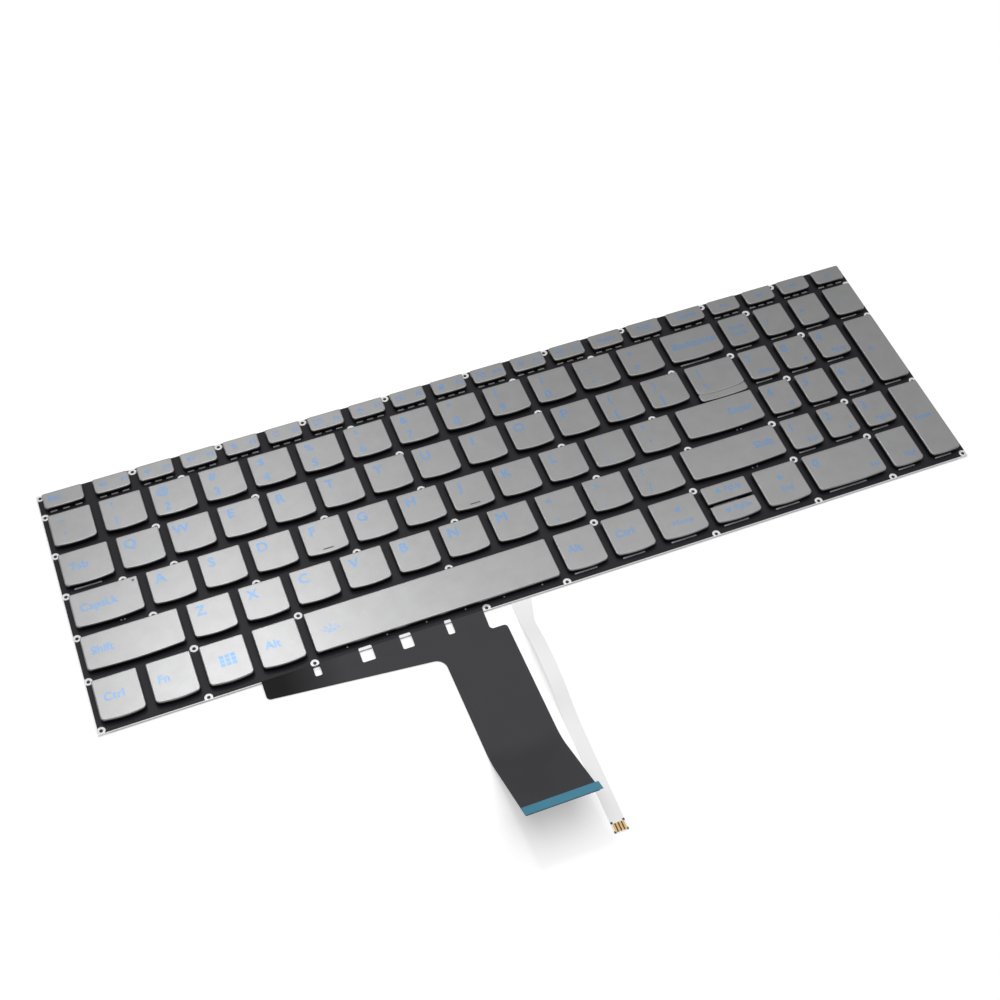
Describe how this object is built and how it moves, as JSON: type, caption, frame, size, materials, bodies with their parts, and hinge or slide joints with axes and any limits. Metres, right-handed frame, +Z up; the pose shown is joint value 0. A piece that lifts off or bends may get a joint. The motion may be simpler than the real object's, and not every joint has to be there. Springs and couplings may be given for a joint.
{
  "type": "notebook keyboard module",
  "caption": "Full-size notebook keyboard module with a number pad, keys that press down, a black circuit ribbon with a blue stiffened end and a white backlight tail.",
  "frame": {"origin": "middle of the underside of the plate, on the surface that the module lies on", "axes": "+X along the key rows to the number pad, +Y from the space bar to the function row, +Z up out of the key tops"},
  "size_m": [0.3368, 0.2007, 0.0186],
  "materials": {
    "cap_grey": "satin paint with a fine grain",
    "plate_steel": "stamped sheet with a dull sheen",
    "membrane_black": "black printed film, half gloss",
    "guide_clear": "clear light guide over white",
    "reflector_white": "white reflector film",
    "ribbon_black": "black circuit film, glossy",
    "stiffener_blue": "blue stiffener film",
    "tail_white": "white circuit film",
    "contact_gold": "gold-plated pads",
    "lamp_yellow": "small lamps",
    "dome_rubber": "soft translucent rubber",
    "scissor_white": "moulded plain plastic",
    "bar_steel": "bright bent wire"
  },
  "bodies": {
    "root": {"arrow_cluster_caps": "cap_grey", "backlight_contacts": "contact_gold", "backlight_lamps": "lamp_yellow", "backlight_tail": "tail_white", "base_plate": "plate_steel", "function_row_caps": "cap_grey", "light_guide": "guide_clear", "membrane_sheet": "membrane_black", "number_pad_caps": "cap_grey", "number_row_caps": "cap_grey", "reflector_film": "reflector_white", "ribbon_stiffener": "stiffener_blue", "ribbon_tail": "ribbon_black", "rubber_domes": "dome_rubber", "scissor_frames": "scissor_white", "stabiliser_bars": "bar_steel"},
    "key_a": {"key_a": "cap_grey"},
    "key_b": {"key_b": "cap_grey"},
    "key_backslash": {"key_backslash": "cap_grey"},
    "key_c": {"key_c": "cap_grey"},
    "key_caps_lock": {"key_caps_lock": "cap_grey"},
    "key_comma": {"key_comma": "cap_grey"},
    "key_d": {"key_d": "cap_grey"},
    "key_e": {"key_e": "cap_grey"},
    "key_enter": {"key_enter": "cap_grey"},
    "key_f": {"key_f": "cap_grey"},
    "key_fn": {"key_fn": "cap_grey"},
    "key_g": {"key_g": "cap_grey"},
    "key_h": {"key_h": "cap_grey"},
    "key_i": {"key_i": "cap_grey"},
    "key_j": {"key_j": "cap_grey"},
    "key_k": {"key_k": "cap_grey"},
    "key_l": {"key_l": "cap_grey"},
    "key_left_alt": {"key_left_alt": "cap_grey"},
    "key_left_bracket": {"key_left_bracket": "cap_grey"},
    "key_left_ctrl": {"key_left_ctrl": "cap_grey"},
    "key_left_shift": {"key_left_shift": "cap_grey"},
    "key_m": {"key_m": "cap_grey"},
    "key_n": {"key_n": "cap_grey"},
    "key_o": {"key_o": "cap_grey"},
    "key_p": {"key_p": "cap_grey"},
    "key_period": {"key_period": "cap_grey"},
    "key_q": {"key_q": "cap_grey"},
    "key_quote": {"key_quote": "cap_grey"},
    "key_r": {"key_r": "cap_grey"},
    "key_right_bracket": {"key_right_bracket": "cap_grey"},
    "key_right_shift": {"key_right_shift": "cap_grey"},
    "key_s": {"key_s": "cap_grey"},
    "key_semicolon": {"key_semicolon": "cap_grey"},
    "key_slash": {"key_slash": "cap_grey"},
    "key_space": {"key_space": "cap_grey"},
    "key_system": {"key_system": "cap_grey"},
    "key_t": {"key_t": "cap_grey"},
    "key_tab": {"key_tab": "cap_grey"},
    "key_u": {"key_u": "cap_grey"},
    "key_v": {"key_v": "cap_grey"},
    "key_w": {"key_w": "cap_grey"},
    "key_x": {"key_x": "cap_grey"},
    "key_y": {"key_y": "cap_grey"},
    "key_z": {"key_z": "cap_grey"}
  },
  "joints": [
    {"name": "press_a", "type": "slide", "parent": "root", "child": "key_a", "axis": [0, 0, -1], "range_m": [0, 0.0013], "stiffness_N_per_m": 300, "deforming": ["rubber_domes", "scissor_frames"]},
    {"name": "press_b", "type": "slide", "parent": "root", "child": "key_b", "axis": [0, 0, -1], "range_m": [0, 0.0013], "stiffness_N_per_m": 300, "deforming": ["rubber_domes", "scissor_frames"]},
    {"name": "press_backslash", "type": "slide", "parent": "root", "child": "key_backslash", "axis": [0, 0, -1], "range_m": [0, 0.0013], "stiffness_N_per_m": 300, "deforming": ["rubber_domes", "scissor_frames"]},
    {"name": "press_c", "type": "slide", "parent": "root", "child": "key_c", "axis": [0, 0, -1], "range_m": [0, 0.0013], "stiffness_N_per_m": 300, "deforming": ["rubber_domes", "scissor_frames"]},
    {"name": "press_caps_lock", "type": "slide", "parent": "root", "child": "key_caps_lock", "axis": [0, 0, -1], "range_m": [0, 0.0013], "stiffness_N_per_m": 300, "deforming": ["rubber_domes", "scissor_frames"]},
    {"name": "press_comma", "type": "slide", "parent": "root", "child": "key_comma", "axis": [0, 0, -1], "range_m": [0, 0.0013], "stiffness_N_per_m": 300, "deforming": ["rubber_domes", "scissor_frames"]},
    {"name": "press_d", "type": "slide", "parent": "root", "child": "key_d", "axis": [0, 0, -1], "range_m": [0, 0.0013], "stiffness_N_per_m": 300, "deforming": ["rubber_domes", "scissor_frames"]},
    {"name": "press_e", "type": "slide", "parent": "root", "child": "key_e", "axis": [0, 0, -1], "range_m": [0, 0.0013], "stiffness_N_per_m": 300, "deforming": ["rubber_domes", "scissor_frames"]},
    {"name": "press_enter", "type": "slide", "parent": "root", "child": "key_enter", "axis": [0, 0, -1], "range_m": [0, 0.0013], "stiffness_N_per_m": 300, "deforming": ["rubber_domes", "scissor_frames"]},
    {"name": "press_f", "type": "slide", "parent": "root", "child": "key_f", "axis": [0, 0, -1], "range_m": [0, 0.0013], "stiffness_N_per_m": 300, "deforming": ["rubber_domes", "scissor_frames"]},
    {"name": "press_fn", "type": "slide", "parent": "root", "child": "key_fn", "axis": [0, 0, -1], "range_m": [0, 0.0013], "stiffness_N_per_m": 300, "deforming": ["rubber_domes", "scissor_frames"]},
    {"name": "press_g", "type": "slide", "parent": "root", "child": "key_g", "axis": [0, 0, -1], "range_m": [0, 0.0013], "stiffness_N_per_m": 300, "deforming": ["rubber_domes", "scissor_frames"]},
    {"name": "press_h", "type": "slide", "parent": "root", "child": "key_h", "axis": [0, 0, -1], "range_m": [0, 0.0013], "stiffness_N_per_m": 300, "deforming": ["rubber_domes", "scissor_frames"]},
    {"name": "press_i", "type": "slide", "parent": "root", "child": "key_i", "axis": [0, 0, -1], "range_m": [0, 0.0013], "stiffness_N_per_m": 300, "deforming": ["rubber_domes", "scissor_frames"]},
    {"name": "press_j", "type": "slide", "parent": "root", "child": "key_j", "axis": [0, 0, -1], "range_m": [0, 0.0013], "stiffness_N_per_m": 300, "deforming": ["rubber_domes", "scissor_frames"]},
    {"name": "press_k", "type": "slide", "parent": "root", "child": "key_k", "axis": [0, 0, -1], "range_m": [0, 0.0013], "stiffness_N_per_m": 300, "deforming": ["rubber_domes", "scissor_frames"]},
    {"name": "press_l", "type": "slide", "parent": "root", "child": "key_l", "axis": [0, 0, -1], "range_m": [0, 0.0013], "stiffness_N_per_m": 300, "deforming": ["rubber_domes", "scissor_frames"]},
    {"name": "press_left_alt", "type": "slide", "parent": "root", "child": "key_left_alt", "axis": [0, 0, -1], "range_m": [0, 0.0013], "stiffness_N_per_m": 300, "deforming": ["rubber_domes", "scissor_frames"]},
    {"name": "press_left_bracket", "type": "slide", "parent": "root", "child": "key_left_bracket", "axis": [0, 0, -1], "range_m": [0, 0.0013], "stiffness_N_per_m": 300, "deforming": ["rubber_domes", "scissor_frames"]},
    {"name": "press_left_ctrl", "type": "slide", "parent": "root", "child": "key_left_ctrl", "axis": [0, 0, -1], "range_m": [0, 0.0013], "stiffness_N_per_m": 300, "deforming": ["rubber_domes", "scissor_frames"]},
    {"name": "press_left_shift", "type": "slide", "parent": "root", "child": "key_left_shift", "axis": [0, 0, -1], "range_m": [0, 0.0013], "stiffness_N_per_m": 300, "deforming": ["rubber_domes", "scissor_frames"]},
    {"name": "press_m", "type": "slide", "parent": "root", "child": "key_m", "axis": [0, 0, -1], "range_m": [0, 0.0013], "stiffness_N_per_m": 300, "deforming": ["rubber_domes", "scissor_frames"]},
    {"name": "press_n", "type": "slide", "parent": "root", "child": "key_n", "axis": [0, 0, -1], "range_m": [0, 0.0013], "stiffness_N_per_m": 300, "deforming": ["rubber_domes", "scissor_frames"]},
    {"name": "press_o", "type": "slide", "parent": "root", "child": "key_o", "axis": [0, 0, -1], "range_m": [0, 0.0013], "stiffness_N_per_m": 300, "deforming": ["rubber_domes", "scissor_frames"]},
    {"name": "press_p", "type": "slide", "parent": "root", "child": "key_p", "axis": [0, 0, -1], "range_m": [0, 0.0013], "stiffness_N_per_m": 300, "deforming": ["rubber_domes", "scissor_frames"]},
    {"name": "press_period", "type": "slide", "parent": "root", "child": "key_period", "axis": [0, 0, -1], "range_m": [0, 0.0013], "stiffness_N_per_m": 300, "deforming": ["rubber_domes", "scissor_frames"]},
    {"name": "press_q", "type": "slide", "parent": "root", "child": "key_q", "axis": [0, 0, -1], "range_m": [0, 0.0013], "stiffness_N_per_m": 300, "deforming": ["rubber_domes", "scissor_frames"]},
    {"name": "press_quote", "type": "slide", "parent": "root", "child": "key_quote", "axis": [0, 0, -1], "range_m": [0, 0.0013], "stiffness_N_per_m": 300, "deforming": ["rubber_domes", "scissor_frames"]},
    {"name": "press_r", "type": "slide", "parent": "root", "child": "key_r", "axis": [0, 0, -1], "range_m": [0, 0.0013], "stiffness_N_per_m": 300, "deforming": ["rubber_domes", "scissor_frames"]},
    {"name": "press_right_bracket", "type": "slide", "parent": "root", "child": "key_right_bracket", "axis": [0, 0, -1], "range_m": [0, 0.0013], "stiffness_N_per_m": 300, "deforming": ["rubber_domes", "scissor_frames"]},
    {"name": "press_right_shift", "type": "slide", "parent": "root", "child": "key_right_shift", "axis": [0, 0, -1], "range_m": [0, 0.0013], "stiffness_N_per_m": 300, "deforming": ["rubber_domes", "scissor_frames"]},
    {"name": "press_s", "type": "slide", "parent": "root", "child": "key_s", "axis": [0, 0, -1], "range_m": [0, 0.0013], "stiffness_N_per_m": 300, "deforming": ["rubber_domes", "scissor_frames"]},
    {"name": "press_semicolon", "type": "slide", "parent": "root", "child": "key_semicolon", "axis": [0, 0, -1], "range_m": [0, 0.0013], "stiffness_N_per_m": 300, "deforming": ["rubber_domes", "scissor_frames"]},
    {"name": "press_slash", "type": "slide", "parent": "root", "child": "key_slash", "axis": [0, 0, -1], "range_m": [0, 0.0013], "stiffness_N_per_m": 300, "deforming": ["rubber_domes", "scissor_frames"]},
    {"name": "press_space", "type": "slide", "parent": "root", "child": "key_space", "axis": [0, 0, -1], "range_m": [0, 0.0013], "stiffness_N_per_m": 300, "deforming": ["rubber_domes", "scissor_frames"]},
    {"name": "press_system", "type": "slide", "parent": "root", "child": "key_system", "axis": [0, 0, -1], "range_m": [0, 0.0013], "stiffness_N_per_m": 300, "deforming": ["rubber_domes", "scissor_frames"]},
    {"name": "press_t", "type": "slide", "parent": "root", "child": "key_t", "axis": [0, 0, -1], "range_m": [0, 0.0013], "stiffness_N_per_m": 300, "deforming": ["rubber_domes", "scissor_frames"]},
    {"name": "press_tab", "type": "slide", "parent": "root", "child": "key_tab", "axis": [0, 0, -1], "range_m": [0, 0.0013], "stiffness_N_per_m": 300, "deforming": ["rubber_domes", "scissor_frames"]},
    {"name": "press_u", "type": "slide", "parent": "root", "child": "key_u", "axis": [0, 0, -1], "range_m": [0, 0.0013], "stiffness_N_per_m": 300, "deforming": ["rubber_domes", "scissor_frames"]},
    {"name": "press_v", "type": "slide", "parent": "root", "child": "key_v", "axis": [0, 0, -1], "range_m": [0, 0.0013], "stiffness_N_per_m": 300, "deforming": ["rubber_domes", "scissor_frames"]},
    {"name": "press_w", "type": "slide", "parent": "root", "child": "key_w", "axis": [0, 0, -1], "range_m": [0, 0.0013], "stiffness_N_per_m": 300, "deforming": ["rubber_domes", "scissor_frames"]},
    {"name": "press_x", "type": "slide", "parent": "root", "child": "key_x", "axis": [0, 0, -1], "range_m": [0, 0.0013], "stiffness_N_per_m": 300, "deforming": ["rubber_domes", "scissor_frames"]},
    {"name": "press_y", "type": "slide", "parent": "root", "child": "key_y", "axis": [0, 0, -1], "range_m": [0, 0.0013], "stiffness_N_per_m": 300, "deforming": ["rubber_domes", "scissor_frames"]},
    {"name": "press_z", "type": "slide", "parent": "root", "child": "key_z", "axis": [0, 0, -1], "range_m": [0, 0.0013], "stiffness_N_per_m": 300, "deforming": ["rubber_domes", "scissor_frames"]}
  ]
}
